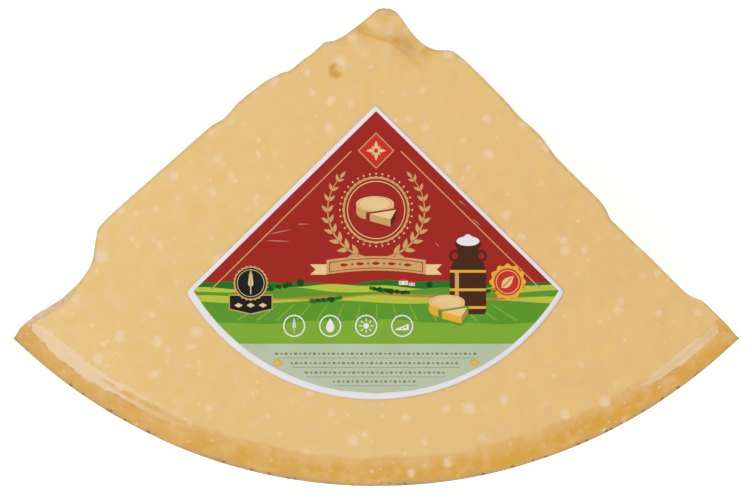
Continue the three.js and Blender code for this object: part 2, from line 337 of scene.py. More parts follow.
def fractureRelief(x, y, z):
    # never above zero: facets in three sizes, bent by smooth noise, on a slow swell
    size, shift = grain["warp"]
    warpX, warpY, warpZ = (shift * noise(x / size, y / size, z / size + 5 * part) for part in (1, 2, 3))
    size, rise = grain["swell"]
    relief = rise * (noise(x / size, y / size, z / size + 6) - 1) / 2
    for size, rise in grain["facets"]:
        relief = relief + rise * (brokenFacets(x + warpX, y + warpY, z + warpZ, size) - 1) / 2
    return np.minimum(relief, 0)


# marks in the face: x, y and size in mm, and strength
marks = {
    "gold": (
        (-6.4, -25.8, 2.2, 0.9), (-4.2, -24.2, 1.2, 0.5), (8.4, -30.4, 2.4, 1.0), (-1.7, -23.6, 2.2, 0.3),
        (5.8, -25.6, 2.8, 0.3), (13.6, -35.0, 3.0, 0.35), (3.5, -21.1, 2.3, 0.5), (5.4, -19.2, 1.5, 0.6),
        (0.6, -20.4, 1.2, 0.4), (19.7, -35.0, 2.8, 0.85), (16.6, -39.2, 3.0, 0.45), (12.0, -32.0, 7.0, 0.65),
        (-12.9, -30.4, 1.9, 0.3), (-3.9, -28.2, 3.4, 0.4), (-4.0, -49.5, 3.0, 0.2), (-8.1, -50.5, 2.4, 0.2),
    ),
    "pale": (
        (5.0, -33.4, 2.2, 0.5), (8.6, -37.0, 2.4, 0.45), (-14.6, -38.2, 1.7, 0.5), (-4.3, -35.2, 1.8, 0.45),
        (-14.4, -39.6, 2.6, 0.6), (-7.5, -32.5, 1.8, 0.3), (16.2, -42.3, 0.9, 0.8), (1.0, -23.6, 1.8, 0.3),
    ),
    "crease": (  # x and strength
        (-13, 0.0), (-8, 0.4), (-4, 0.95), (0, 0.8), (5, 0.9), (9, 1.0), (13, 0.8), (16, 0.3), (19, 0.0),
    ),
}
# pale stripe of painted highlight along the rind's inner edge, and the gap in it: degrees round the wheel,
# with mm inside the rind for their middles, half their widths in mm, below zero where they are absent, and
# the stripe's strength
stripe = {
    "stripeMiddle": ((-44, 9.5), (-36, 9.4), (-33, 9.8), (-29, 10.2), (-20, 10.3), (30, 9.5), (44, 9.7)),
    "stripeHalf": (
        (-44, -1.0), (-43.4, 1.8), (-41, 3.0), (-36, 3.1), (-33, 2.7), (-27, 2.7), (-23, 2.3), (-21, 1.0),
        (-19.5, -1.0), (31.5, -1.0), (33, 1.3), (34.5, 2.0), (41, 2.2), (43, 1.9), (43.9, -1.0),
    ),
    "stripeTone": (
        (-32, 1.0), (-29, 0.75), (-27, 0.45), (-25, 0.35), (-23, 0.25), (-20, 0.1), (32, 0.4), (34, 0.9),
        (40, 0.95), (42, 0.6),
    ),
    "gapMiddle": ((0, 10.4),),
    "gapHalf": ((-36.5, -1.0), (-34.5, 0.1), (-33, 0.5), (-31, 0.9), (-27, 1.1), (-20, 1.2), (20, -1.0)),
}


def faceMarks(x, y):
    # gold stains with the crease along the break, a gold ring in the eye with a painted highlight at its
    # upper right where the gold is left out, and pale patches: sums of round soft spots
    eyeX, eyeY, eyeRadius, _ = face["eye"]
    gold = interpolate(marks["crease"], x) * np.exp(-((beyondBreak(x, y) - 0.3) / 0.75) ** 2)
    within = np.hypot(x - eyeX + 0.3, y - eyeY + 0.4) / eyeRadius
    # painted highlight: the gold is taken out at the pit's upper right
    shine = np.hypot(x - eyeX - 0.9, y - eyeY - 0.9) / eyeRadius
    gold = np.maximum(gold, 1 - smoothstep(within, 0.75, 1.05) - 0.7 * (1 - smoothstep(shine, 0.25, 0.75)))
    for *spot, strength in marks["gold"]:
        gold = np.maximum(gold, strength * bump(x, y, *spot))
    pale = sum(strength * bump(x, y, *spot) for *spot, strength in marks["pale"])
    return gold, pale * (1 - gold)


def wedgeColumns():
    # where the columns stand: from the tip down the left split, round the rind and up the right split
    run = np.arange(fineness["splitColumns"]) / fineness["splitColumns"]
    around = np.arange(fineness["rindColumns"]) / fineness["rindColumns"]
    return {
        "left": run ** 1.12,  # closer together at the tip
        "rind": wheel["halfAngle"] * (2 * around - 1),
        "right": (1 - run) ** 1.12,
    }


def wedgeShell(columns):
    # rows run out over the base, up the wall, over the worn edge and in to the middle of the face; also gives
    # the rows where wall, edge and face start, and the unworn edge, how wide it is worn and where it broke
    count = sum(len(side) for side in columns.values())
    centreX, centreY = face["centre"]
    footX, footY = wallSurface(columns, np.zeros((count, 1)))
    outerX, outerY = wallSurface(columns, np.full((count, 1), faceHigh))
    size, rise = grain["edgeChip"]
    chip = rise * smoothstep(noise(outerX / size, outerY / size, 11.5), 0.1, 0.8)
    corner, worn = cornerShare(columns), cheese["wornEdge"]
    inset = worn + (cheese["cornerBreak"]["inset"] - worn) * corner + chip
    wearDepth = worn + (cheese["cornerBreak"]["depth"] - worn) * corner + chip
    rimX, rimY = towardsCentre(outerX, outerY, inset)
    rimHigh = faceHigh - faceDrop(rimX, rimY)

    outwards = (np.arange(1, fineness["baseRings"] + 1) / (fineness["baseRings"] + 1)) ** 0.6
    heel = np.array(fineness["heelHeights"])
    climb = np.arange(1, fineness["wallRows"]) / fineness["wallRows"]
    aboveHeel = heel[-1] + (rimHigh - wearDepth - heel[-1]) * climb
    wallZ = np.concatenate([np.tile(heel, (count, 1)), aboveHeel], axis=1)
    angles = np.radians(fineness["edgeAngles"])
    # round, and nearly flat at the broken corner
    edgeFall = 1 - np.sin(angles) + 0.6 * corner * (np.cos(angles) + np.sin(angles) - 1)
    near = fineness["nearSpacing"] * np.arange(1, fineness["nearRings"] + 1)
    nearX, nearY = towardsCentre(rimX, rimY, near)
    inwards = (1 - np.arange(1, fineness["farRings"] + 1) / (fineness["farRings"] + 1)) ** 1.25
    farX = centreX + (nearX[:, -1:] - centreX) * inwards
    farY = centreY + (nearY[:, -1:] - centreY) * inwards
    blocks = (
        (centreX + (footX - centreX) * outwards, centreY + (footY - centreY) * outwards, 0),
        (footX, footY, 0),
        (*wallSurface(columns, wallZ), wallZ),
        (*towardsCentre(outerX, outerY, inset * (1 - np.cos(angles))), rimHigh - wearDepth * edgeFall),
        (nearX, nearY, faceHigh - faceDrop(nearX, nearY)),
        (farX, farY, faceHigh - faceDrop(farX, farY)),
    )
    blocks = [np.broadcast_arrays(*block) for block in blocks]
    points = [np.concatenate([block[axis] for block in blocks], axis=1) for axis in range(3)]
    wallStart = fineness["baseRings"] + 1
    edgeStart = wallStart + wallZ.shape[1]
    return points, (wallStart, edgeStart, edgeStart + len(angles)), (outerX, outerY, inset, corner)


def buildCheese():
    # the shell, moved inwards along its normals by the relief, what the materials read, and where the rind is
    columns = wedgeColumns()
    (x, y, z), (wallStart, edgeStart, faceStart), (outerX, outerY, inset, corner) = wedgeShell(columns)

    # where the surface is: on a split, on the rind, on the face
    k, n = len(columns["left"]), len(columns["left"]) + len(columns["rind"])
    splitColumn = np.ones((len(x), 1))
    splitColumn[k:n] = 0
    row = np.arange(x.shape[1])[None, :]
    wallShare = plateau(row, wallStart - 1, wallStart + 2, edgeStart - 4, faceStart - 1)
    fromRind = rindRadius(np.clip(z, 0, faceHigh)) - np.hypot(x, y)
    pastKnife = smoothstep(np.minimum(fromRind, z + 4), 4, cheese["incisionWidth"])
    rough = splitColumn * wallShare * (0.22 + 0.78 * pastKnife)
    onFace = (row >= faceStart - 1) * 1.0
    torn = smoothstep(beyondBreak(x, y), 0.5, 2.5) * (row >= edgeStart)
    besideBreak = smoothstep(beyondBreak(x, y), -4, 0) * smoothstep(z, faceHigh - 12, faceHigh - 5)
    rough = np.maximum(rough * (1 - 0.85 * besideBreak), 0.12 * torn)

    # move the surface along its own normal by the fine relief, which never lifts it
    size, stray = grain["raggedTop"]
    depth = faceHigh - z + stray * noise(x / size, y / size, 4.5)
    full = 0.15 + 0.85 * smoothstep(depth, 2, 20)
    relief = rough * smoothstep(z, 0.5, 6) * fractureRelief(x, y, z) * full
    size, dip = grain["faceDip"]
    out = relief - onFace * dip * (0.5 + 0.5 * noise(x / size, y / size, 3))
    size, tall, dip = grain["rindDip"]
    out = out - (1 - splitColumn) * wallShare * dip * (0.5 + 0.5 * noise(x / size, y / size, z / tall))
    normal = surfaceNormals(x, y, z)
    x, y, z = (a + out * normal[..., axis] for axis, a in enumerate((x, y, z)))
    z = np.maximum(z, 0)

    # what the materials read at each point
    degrees = np.degrees(np.arctan2(x, -y))
    gold, pale = faceMarks(x, y)
    above = row >= edgeStart
    fromEdge = np.hypot(x - outerX, y - outerY)
    # the broken corner's strip: its own pinkish brown, with painted shade of its steep broken face
    cornerTintAndShade = smoothstep(corner, 0.05, 0.5) * (1 - smoothstep(fromEdge / inset, 0.9, 1.15))
    attributes = {
        "skinDepth": np.minimum(fromRind, np.where(row < wallStart, 0, z)),
        "splitShare": rough,
        # painted shade, darker where the relief sinks deepest
        "hollowShade": 0.6 * smoothstep(-relief, 2.5, 8),
        "goldMark": gold * above,
        "paleMark": pale * above,
        "cornerTintAndShade": cornerTintAndShade * smoothstep(row, edgeStart - 2, edgeStart + 3),
        # painted shade on the rows of the worn edge
        "edgeShade": plateau(row, edgeStart - 3, edgeStart + 1, faceStart - 2, faceStart + 1),
        "rindMap": np.stack([np.radians(degrees) * wheel["radius"], z, np.zeros_like(z)], axis=-1),
    }
    attributes.update({name: interpolate(stations, degrees) for name, stations in stripe.items()})
    attributes["stripeHalf"] = np.where(above, attributes["stripeHalf"], -1)
    isRind = (row < wallStart) | ((splitColumn == 0) & (row < edgeStart + 3))
    return x, y, z, attributes, isRind


def addObject(name, data):
    # an unmoved object in the scene for a mesh, lamp or camera
    piece = bpy.data.objects.new(name, data)
    bpy.context.scene.collection.objects.link(piece)
    return piece


def gridMesh(name, x, y, z, poles):
    # a closed tube of columns by rows, shut at both ends by a pole
    columnCount, rowCount = x.shape
    points = np.vstack([np.stack([x, y, z], axis=-1).reshape(-1, 3), poles]) + (axisX, axisY, 0)
    c = np.arange(columnCount)[:, None]
    r = np.arange(rowCount - 1)[None, :]
    a = c * rowCount + r
    b = ((c + 1) % columnCount) * rowCount + r
    quads = np.stack([a, b, b + 1, a + 1], axis=-1).reshape(-1, 4)
    first = np.arange(columnCount) * rowCount
    second = np.roll(first, -1)
    low, high = len(points) - 2, len(points) - 1
    lowFan = np.stack([np.full(columnCount, low), second, first], axis=-1)
    highFan = np.stack([np.full(columnCount, high), first + rowCount - 1, second + rowCount - 1], axis=-1)
    mesh = bpy.data.meshes.new(name)
    mesh.from_pydata((points * mm).tolist(), [], quads.tolist() + lowFan.tolist() + highFan.tolist())
    mesh.polygons.foreach_set("use_smooth", np.ones(len(mesh.polygons), bool))
    mesh.update()
    return addObject(name, mesh)


def linear(hexColour):
    # an sRGB hex value as linear RGBA
    parts = [int(hexColour[i : i + 2], 16) / 255 for i in (0, 2, 4)]
    return (*[c / 12.92 if c <= 0.04045 else ((c + 0.055) / 1.055) ** 2.4 for c in parts], 1)


def setInputs(node, inputs):
    # links the inputs whose value is another node's output, and sets the others
    for key, value in inputs.items():
        if isinstance(value, bpy.types.NodeSocket):
            node.id_data.links.new(value, node.inputs[key])
        else:
            node.inputs[key].default_value = value


def addNode(tree, kind, inputs, output=0, **properties):
    # adds a node with its properties and inputs, and gives one of its outputs
    node = tree.nodes.new("ShaderNode" + kind)
    for key, value in properties.items():
        setattr(node, key, value)
    setInputs(node, inputs)
    return node.outputs[output]


def newMaterial(name):
    # gives the material, its shader, and addNode for its own tree
    material = bpy.data.materials.new(name)
    material.use_nodes = True
    tree = material.node_tree
    return material, tree.nodes["Principled BSDF"], partial(addNode, tree)


def rampColours(ramp, stops):
    # stops are (place, hex) pairs on the Color Ramp behind this output
    elements = ramp.node.color_ramp.elements
    while len(elements) > 1:
        elements.remove(elements[-1])
    elements[0].position, elements[0].color = stops[0][0], linear(stops[0][1])
    for place, colour in stops[1:]:
        elements.new(place).color = linear(colour)


def paintOver(add, colour, layers):
    # each layer is a colour, as hex or as a node's output, and the masks it shows through, multiplied in turn
    for tint, share, *masks in layers:
        for mask in masks:
            share = add("Math", {0: share, 1: mask}, operation="MULTIPLY")
        tint = linear(tint) if isinstance(tint, str) else tint
        colour = add("Mix", {0: share, 6: colour, 7: tint}, 2, data_type="RGBA")
    return colour


paste = {
    # the plain paste, painted lighter at the left and darker at the right as if lit from the left
    "left": "D6B67B",
    "right": "D2AC6F",
    "band": (  # mm from the rind's outside, and colour
        (0.0, "B08E5A"), (0.9, "BC985D"), (1.8, "C39752"), (2.8, "C7984C"), (5.0, "C99A4E"), (6.6, "CB9F58"),
        (9.4, "CD9F54"), (10.9, "CEA15A"), (11.9, "D1A96B"),
    ),
    "bandDepth": 12.6,  # mm from the outside to plain paste
    "blotch": "C8962E",
    "speck": "63442A",
    "crystal": "DAC29E",
    # painted highlight along the rind's inner edge, drawn as a pale stripe
    "stripeHighlight": "DABF99",
    # a thin line of painted shade along the pale stripe's outer border, as under a step
    "stepShadeLine": "AC8250",
    # painted shade along the worn edge between face and split
    "edgeShadeTone": "A28B62",
    "goldMark": "CB963F",
    "mellow": "D5B26C",
    "fleck": "D6B483",
    # the broken corner: its own pinkish brown with painted shade, darker and lighter
    "cornerShadeDark": "B89474",
    "cornerShadeLight": "CBA987",
    "broken": "E8CA92",
    "grainShade": "CDA364",  # painted shade between the grains of broken curd and in the relief's hollows
    "noises": {  # size in mm and detail
        "cloud": (45, 3),
        "waver": (15, 3),
        "blotch": (10, 4),
        "patch": (7, 2),
        "mottle": (5, 4),
        "fray": (2.4, 3),
        "grit": (0.9, 4),
    },
    "curd": 3.1,  # mm between the grains of broken curd
    "crumb": 1.3,
    "bend": (4.0, 2.8),  # what puts grains and crystals out of round: size and shift in mm
    "pits": 2.7,  # mm between dark specks along the cut rind
    "halfWidth": 147.0,  # mm over which the tone changes, to either side; in the plain paste that change is painted light, lighter on the left
    # mm between crystals, smallest and largest radius in shares of that (none below zero), strength, and
    # whether they are all over or only near the rind
    "crystals": (
        (7.8, -0.02, 0.36, 0.75, True), (4.6, -0.05, 0.24, 0.8, True), (12.0, -0.06, 0.09, 1.25, True),
        (2.9, -0.30, 0.26, 0.75, False),
    ),
}


def plainPaste(add, at, side):
    # left to right, a slight change of tone that is painted light, lighter on the left as if lit from that
    # side, broken up by clouds and mellow patches
    tone = add("Math", {0: at["cloud"], 1: 0.7, 2: side}, operation="MULTIPLY_ADD")
    tone = add("Math", {0: at["mottle"], 1: 1.1, 2: tone}, operation="MULTIPLY_ADD")
    tone = add("Math", {0: tone, 1: 0.9}, operation="SUBTRACT", use_clamp=True)
    mellow = add("MapRange", {"Value": at["patch"], "From Min": 0.45, "From Max": 0.65, "To Max": 0.9})
    return paintOver(add, linear(paste["left"]), ((paste["right"], tone), (paste["mellow"], mellow)))


def rindBand(add, read, at, side, plain):
    # the band under the rind, with golden blotches and a wavering border, which the pale stripe of painted
    # highlight hides; also gives the depth that it is drawn by, in mm, and where it ends
    depth = add("Math", {0: at["waver"], 1: 6.0, 2: read["skinDepth"]}, operation="MULTIPLY_ADD")
    depth = add("Math", {0: at["fray"], 1: 1.4, 2: depth}, operation="MULTIPLY_ADD")
    depth = add("Math", {0: depth, 1: 3.7}, operation="SUBTRACT")
    hidden = add("Math", {0: read["stripeHalf"], 1: 0.0}, operation="MAXIMUM")
    depth = add("Math", {0: hidden, 1: 0.25, 2: depth}, operation="MULTIPLY_ADD")
    share = add("Math", {0: depth, 1: paste["bandDepth"]}, operation="DIVIDE", use_clamp=True)
    band = add("ValToRGB", {"Fac": share})
    rampColours(band, [(deep / paste["bandDepth"], colour) for deep, colour in paste["band"]])
    inside = add("MapRange", {"Value": depth, "From Min": 11.6, "From Max": paste["bandDepth"]})
    golden = add("Math", {0: side, 1: 0.24, 2: at["blotch"]}, operation="MULTIPLY_ADD")
    golden = add("MapRange", {"Value": golden, "From Min": 0.4, "From Max": 0.61, "To Max": 0.95})
    outer = add("MapRange", {"Value": depth, "From Min": 9.5, "From Max": 6.5})
    skinOff = add("MapRange", {"Value": depth, "From Min": 0.8, "From Max": 2.6})
    fleck = add("MapRange", {"Value": at["mottle"], "From Min": 0.42, "From Max": 0.72, "To Max": 0.5})
    layers = ((paste["blotch"], golden, outer, skinOff), (paste["fleck"], fleck, skinOff), (plain, inside))
    return paintOver(add, band, layers), depth, inside


def crystalMask(add, bent, depth, side):
    # sections of scattered grains in three sizes, bent out of round, fewer under the rind and to the right
    fewer = add(
        "MapRange", {"Value": depth, "From Min": 4.0, "From Max": 11.0, "To Min": -0.08, "To Max": 0.04}
    )
    fewer = add("Math", {0: side, 1: -0.09, 2: fewer}, operation="MULTIPLY_ADD")
    inBand = add("MapRange", {"Value": depth, "From Min": 11.0, "From Max": 12.5, "To Max": -1.0})
    mask = 0.0
    for cell, smallest, largest, strength, everywhere in paste["crystals"]:
        away = add("TexVoronoi", {"Vector": bent, "Scale": 1 / (cell * mm)})
        lot = add("SeparateColor", {0: away.node.outputs["Color"]})
        radius = add("MapRange", {"Value": lot, "To Min": smallest, "To Max": largest})
        radius = add("Math", {0: radius, 1: fewer if everywhere else inBand}, operation="ADD")
        within = add("Math", {0: radius, 1: away}, operation="SUBTRACT")
        soft = add("MapRange", {"Value": within, "From Min": -0.05, "From Max": 0.15, "To Max": strength})
        mask = add("Math", {0: mask, 1: soft}, operation="MAXIMUM")
    return mask


def stripeLayers(add, read, at):
    # the pale stripe, a painted highlight: as wide as its attributes say at each point, frayed, and streaked
    # along its length where it is narrow; and here and there a thin brown line of painted shade along its
    # outer border, as under a step
    around = add("SeparateXYZ", {0: add("Attribute", {}, "Vector", attribute_name="rindMap")})
    around = add("Math", {0: around, 1: 1 / 16}, operation="MULTIPLY")
    drawn = add("CombineXYZ", {"X": around, "Y": read["skinDepth"]})
    fine = add("TexNoise", {"Vector": drawn, "Scale": 2.6, "Detail": 2.0})
    coarse = add("TexNoise", {"Vector": drawn, "Scale": 1.1, "Detail": 3.0})
    frayed = add("Math", {0: coarse, 1: 3.6, 2: -3.1}, operation="MULTIPLY_ADD")
    for name, amount in (("fray", 1.4), ("grit", 1.2)):
        frayed = add("Math", {0: at[name], 1: amount, 2: frayed}, operation="MULTIPLY_ADD")
    within = []
    for half, middle in (("stripeHalf", "stripeMiddle"), ("gapHalf", "gapMiddle")):
        off = add("Math", {0: read["skinDepth"], 1: read[middle]}, operation="SUBTRACT")
        off = add("Math", {0: off}, operation="ABSOLUTE")
        left = add("Math", {0: read[half], 1: off}, operation="SUBTRACT")
        within.append(add("Math", {0: left, 1: frayed}, operation="ADD"))
    core, border, gap = (
        add("MapRange", {"Value": value, "From Min": start, "From Max": start + 0.7})
        for value, start in ((within[0], -0.3), (within[0], -0.9), (within[1], -0.3))
    )
    gapless = add("Math", {0: 1.0, 1: gap}, operation="SUBTRACT")
    streak = add("MapRange", {"Value": fine, "From Min": 0.4, "From Max": 0.55, "To Min": 0.62})
    wide = add("MapRange", {"Value": read["stripeHalf"], "From Min": 2.2, "From Max": 2.8, "To Max": 0.85})
    streak = add("Math", {0: streak, 1: wide}, operation="MAXIMUM")
    # painted shade: a thin line just outside the stripe's core
    stepShadeLine = add("Math", {0: border, 1: core}, operation="SUBTRACT", use_clamp=True)
    outer = add("Math", {0: read["skinDepth"], 1: read["stripeMiddle"]}, operation="LESS_THAN")
    parted = add("MapRange", {"Value": at["patch"], "From Min": 0.48, "From Max": 0.56, "To Max": 0.6})
    tone = read["stripeTone"]
    return (paste["stripeHighlight"], core, gapless, streak, tone), (paste["stepShadeLine"], stepShadeLine, outer, parted, tone)


def agedPaste():
    # aged cows' milk curd, sawn and split: warm straw with soft pale crystals, darker under the rind, waxy
    material, shader, add = newMaterial("agedPaste")
    place = add("TexCoord", {}, "Object")
    read, at = {}, {}
    for name in ("skinDepth", "splitShare", "hollowShade", "goldMark", "paleMark", "cornerTintAndShade", "edgeShade", *stripe):
        read[name] = add("Attribute", {}, "Fac", attribute_name=name)
    for name, (size, detail) in paste["noises"].items():
        at[name] = add("TexNoise", {"Vector": place, "Scale": 1 / (size * mm), "Detail": detail})
    half = paste["halfWidth"] * mm
    # 0 at the left to 1 at the right; for the plain paste this is the change of painted light, lighter on the
    # left
    side = add("MapRange", {"Value": add("SeparateXYZ", {0: place}), "From Min": -half, "From Max": half})
    colour, depth, inside = rindBand(add, read, at, side, plainPaste(add, at, side))

    # broken curd: grains in two sizes, with painted shade that darkens the gaps between them and the hollows
    # of the relief, so that their tops look paler
    size, shift = paste["bend"]
    bend = add("TexNoise", {"Vector": place, "Scale": 1 / (size * mm)}, "Color")
    bent = add("VectorMath", {0: bend, 1: [shift * mm] * 3, 2: place}, operation="MULTIPLY_ADD")
    curd = add("TexVoronoi", {"Vector": bent, "Scale": 1 / (paste["curd"] * mm)})
    crumb = add("TexVoronoi", {"Vector": bent, "Scale": 1 / (paste["crumb"] * mm)})
    gaps = add("Math", {0: crumb, 1: 0.6, 2: curd}, operation="MULTIPLY_ADD")
    gap = add("MapRange", {"Value": gaps, "From Min": 0.5, "From Max": 1.1, "To Max": 0.4})
    gap = add("Math", {0: gap, 1: read["hollowShade"]}, operation="ADD", use_clamp=True)
    torn = paintOver(add, linear(paste["broken"]), ((paste["grainShade"], gap),))

    # golden stains, broken up a little; painted shade on the worn edge, more in some places than in others;
    # the broken corner, its own pinkish brown with painted shade; and dark specks where the rind was cut
    # through
    stained, edgeShadeAmount, uneven = (
        add("MapRange", {
            "Value": at["fray"], "From Min": start, "From Max": 0.6, "To Min": least, "To Max": most,
        })
        for start, least, most in ((0.3, 0.7, 1.1), (0.35, 0.35, 0.75), (0.4, 0.0, 1.0))
    )
    cornerTintAndShade = paintOver(add, linear(paste["cornerShadeDark"]), ((paste["cornerShadeLight"], uneven),))
    pits = add("TexVoronoi", {"Vector": place, "Scale": 1 / (paste["pits"] * mm)})
    pit = add("MapRange", {"Value": pits, "From Min": 0.4, "From Max": 0.2, "To Max": 0.75})
    atEdge = add("MapRange", {"Value": read["skinDepth"], "From Min": 1.6, "From Max": 0.8})
    colour = paintOver(add, colour, (
        (torn, read["splitShare"], inside, 0.85),
        (paste["crystal"], read["paleMark"]),
        (paste["crystal"], crystalMask(add, bent, depth, side)),
        *stripeLayers(add, read, at),
        (paste["goldMark"], read["goldMark"], stained),
        (paste["edgeShadeTone"], read["edgeShade"], edgeShadeAmount),
        (cornerTintAndShade, read["cornerTintAndShade"]),
        (paste["speck"], pit, atEdge),
    ))

    # broken curd is grainy and dull, the sawn face smooth
    grainy = add("Math", {0: at["grit"], 1: gaps}, operation="SUBTRACT")
    smooth = add("Math", {0: at["grit"], 1: 0.06}, operation="MULTIPLY")
    height = add("Mix", {0: read["splitShare"], 2: smooth, 3: grainy}, data_type="FLOAT")
    setInputs(shader, {
        "Base Color": colour,
        "Normal": add("Bump", {"Height": height, "Distance": 0.9 * mm, "Strength": 0.9}),
        "Roughness": add("MapRange", {"Value": read["splitShare"], "To Min": 0.42, "To Max": 0.62}),
        "IOR": 1.44,
        "Subsurface Weight": 0.15,
        "Subsurface Radius": (1.0, 0.6, 0.3),
        "Subsurface Scale": 0.003,
        "Coat Weight": 0.08,
        "Coat Roughness": 0.25,
    })
    return material


rind = {
    "light": "C79A55",
    "dark": "AC7D3F",
    "dot": "664424",
    "dotSpacing": 4.0,  # mm between pins of the mould
    "dotRadius": 0.75,
    "trellis": 46.0,  # mm between the lines of the trellis that the dots make
    "lineWidth": 10.0,
    "dotsFrom": 3.0,  # mm up the side
    "cloud": 30.0,  # mm, changes of tone
    "scuff": 1.5,
}


def oiledRind():
    # hardened outside of the wheel, pressed against a pin mould and oiled: golden brown, dotted, worn shiny
    material, shader, add = newMaterial("oiledRind")
    place = add("TexCoord", {}, "Object")
    wrap = add("Attribute", {}, "Vector", attribute_name="rindMap")
    cloud = add(
        "TexNoise", {"Vector": place, "Scale": 1 / (rind["cloud"] * mm), "Detail": 6.0, "Roughness": 0.6}
    )
    base = add("ValToRGB", {"Fac": cloud})
    rampColours(base, ((0.3, rind["dark"]), (0.62, rind["light"])))

    # dots along the lines of the trellis, above the heel
    spacing, dotShare = rind["dotSpacing"], rind["dotRadius"] / rind["dotSpacing"]
    dots = add(
        "TexVoronoi", {"Vector": wrap, "Scale": 1 / spacing, "Randomness": 0.25}, voronoi_dimensions="2D"
    )
    pin = add("MapRange", {"Value": dots, "From Min": 1.25 * dotShare, "From Max": 0.6 * dotShare})
    around = add("SeparateXYZ", {0: wrap})
    up = around.node.outputs["Y"]
    lines = 0.0
    for sign in (1.0, -1.0):
        slanted = add("Math", {0: up, 1: sign, 2: around}, operation="MULTIPLY_ADD")
        folded = add("Math", {0: slanted, 1: rind["trellis"] / 2}, operation="PINGPONG")
        near = add("Math", {0: folded, 1: rind["lineWidth"] / 2}, operation="LESS_THAN")
        lines = add("Math", {0: lines, 1: near}, operation="MAXIMUM")
    mark = add("Math", {0: up, 1: rind["dotsFrom"]}, operation="GREATER_THAN")
    for mask in (lines, pin):
        mark = add("Math", {0: mark, 1: mask}, operation="MULTIPLY")

    scuff = add("TexNoise", {"Vector": place, "Scale": 1 / (rind["scuff"] * mm), "Detail": 5.0})
    dent = add("Math", {0: mark, 1: -1.2, 2: scuff}, operation="MULTIPLY_ADD")
    setInputs(shader, {
        "Base Color": paintOver(add, base, ((rind["dot"], mark, 0.8),)),
        "Normal": add("Bump", {"Height": dent, "Distance": 0.6 * mm, "Strength": 0.7}),
        "Roughness": add("MapRange", {"Value": cloud, "To Min": 0.32, "To Max": 0.55}),
        "IOR": 1.46,
        "Coat Weight": 0.15,
    })
    return material


def placeCheese():
    # the whole chunk as one piece in two materials, the rind's on the rind and underneath
    x, y, z, attributes, isRind = buildCheese()
    wedge = gridMesh("wedge", x, y, z, [(*face["centre"], 0), (*face["centre"], float(faceHigh))])
    for name, values in attributes.items():
        # one value for each point, and those of the two poles
        values = values if values.ndim == 3 else np.broadcast_to(values, x.shape)[..., None]
        flat = np.vstack([values.reshape(-1, values.shape[-1]), values[0, :1], values[0, -1:]])
        isVector = flat.shape[1] == 3
        layer = wedge.data.attributes.new(name, "FLOAT_VECTOR" if isVector else "FLOAT", "POINT")
        layer.data.foreach_set("vector" if isVector else "value", flat.reshape(-1).astype(np.float32))
    wedge.data.materials.append(agedPaste())
    wedge.data.materials.append(oiledRind())
    isRind = np.broadcast_to(isRind, x.shape)
    slots = (isRind[:, :-1] & isRind[:, 1:]).reshape(-1)
    slots = np.concatenate([slots, np.ones(len(x), bool), np.zeros(len(x), bool)]).astype(np.int32)
    wedge.data.polygons.foreach_set("material_index", slots)
    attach(wedge, "root")
    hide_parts("cheese")
    print("cheese:", len(wedge.data.polygons), "faces")


placeCheese()

label = {
    "apex": (-0.2, -56.2),
    "halfAngle": math.radians(45.4),
    "arcCentre": (-0.4, -86.2),
    "arcRadius": 88.7,
    "cornerCut": 2.0,
    "apexCut": 1.0,
    "thickness": 0.25,
    "middle": (0.0, -122.0),
    "sideBorder": 1.75,
    "arcBorder": 2.55,
    "inkStep": 0.02,  # mm from one layer of ink to the next
    "waves": ((24.0, 0.05), (9.0, 0.008)),  # paper on soft cheese: size and height
    "cell": 1.2,  # mm between the points of a printed area
    "press": 0.6,  # mm, the mottle of the press
    "cloud": 20.0,  # mm, changes of tone
}
inks = {  # name of the ink: colour, sRGB
    "paperWhite": "D5D2D6",
    "brightRed": "BB2A1F",
    "wineRed": "921E16",
    "dullGold": "BB935B",
    "paleGold": "D3B682",
    "hedgeGreen": "074107",
    "hillGreen": "19691E",
    "meadowGreen": "518A22",
    "grassGreen": "729D2B",
    "limeGreen": "AAB138",
    "ochreField": "A67B33",
    "sageGreen": "A9B399",
    "stoneGrey": "71755B",
    "nightBlack": "0F1411",
    "churnBrown": "3F1E0D",
    "sunYellow": "D49F28",
    "foldShine": "AB6D65",
}


def paperHeight(x, y):
    # the paper's top, with its waves
    flat = faceHigh + labelGap + label["thickness"]
    return flat + sum(rise * noise(x / size, y / size, size) for size, rise in label["waves"])


printed = {name: [] for name in inks}


def printShape(ink, x, y, level, closed=False):
    # a slab of ink on a grid of u by v: loops across v, over and back underneath, carried along u
    x, y = np.broadcast_arrays(x, y)
    top = paperHeight(x, y) + level * label["inkStep"]
    under = top - 0.9 * label["inkStep"]
    x = np.concatenate([x, x[:, ::-1]], axis=1)
    y = np.concatenate([y, y[:, ::-1]], axis=1)
    z = np.concatenate([top, under[:, ::-1]], axis=1)
    n, loop = x.shape
    u = np.arange(n if closed else n - 1)[:, None]
    v = np.arange(loop)[None, :]
    nextU, nextV = (u + 1) % n, (v + 1) % loop
    quads = np.stack([u * loop + v, nextU * loop + v, nextU * loop + nextV, u * loop + nextV], axis=-1)
    faces = quads.reshape(-1, 4)
    if not closed:
        w = np.arange(loop // 2 - 1)
        cap = np.stack([w, w + 1, loop - 2 - w, loop - 1 - w], axis=-1)
        faces = np.vstack([faces, cap, cap[:, ::-1] + (n - 1) * loop])
    printed[ink].append((np.stack([x, y, z], axis=-1).reshape(-1, 3), faces))


def shares(width):
    # evenly spaced numbers from 0 to 1, close enough together for the paper's waves
    return np.linspace(0, 1, 2 + int(width / label["cell"]))[None, :]


def heading(degrees):
    # x and y of a unit step that way
    return math.cos(math.radians(degrees)), math.sin(math.radians(degrees))


